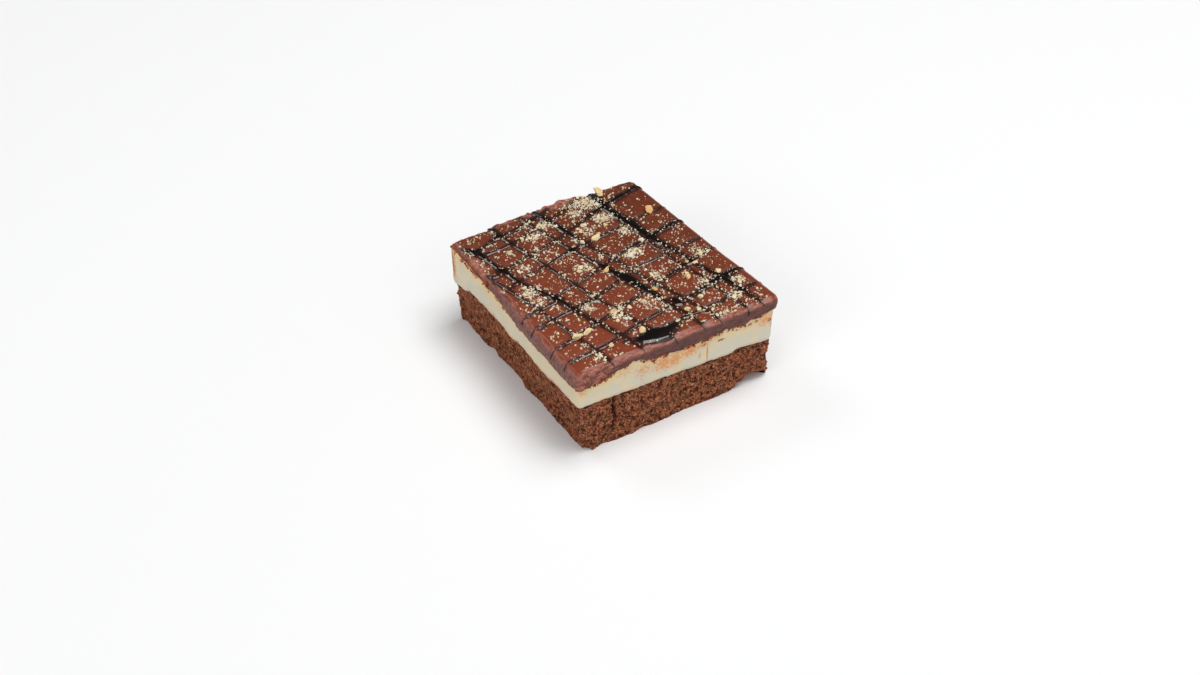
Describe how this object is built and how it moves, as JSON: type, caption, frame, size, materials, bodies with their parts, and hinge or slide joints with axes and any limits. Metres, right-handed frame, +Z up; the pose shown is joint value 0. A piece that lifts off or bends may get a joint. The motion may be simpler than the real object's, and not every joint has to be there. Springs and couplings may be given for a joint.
{
  "type": "layered chocolate cake square",
  "caption": "Cut square of layered cake: crumbly chocolate sponge, white set cream and chocolate topping, with a lattice of dark syrup and chopped nuts.",
  "frame": {"origin": "middle of the bounding box, on the surface that the cake stands on", "axes": "+Z up; +Y along the longer side, from the front side to the back side; +X from the overhanging left side to the right side"},
  "size_m": [0.0843, 0.0963, 0.0377],
  "materials": {
    "sponge": "matte, crumbly chocolate sponge with open pores",
    "cream": "smooth set milk cream, soft sheen",
    "chocolate": "satin milk chocolate topping, matte where it was cut",
    "syrup": "dark, wet, glossy syrup",
    "nut": "chopped pale nuts, matte"
  },
  "bodies": {
    "root": {"sponge_base": "sponge", "cream_layer": "cream", "chocolate_topping": "chocolate"}
  },
  "joints": []
}
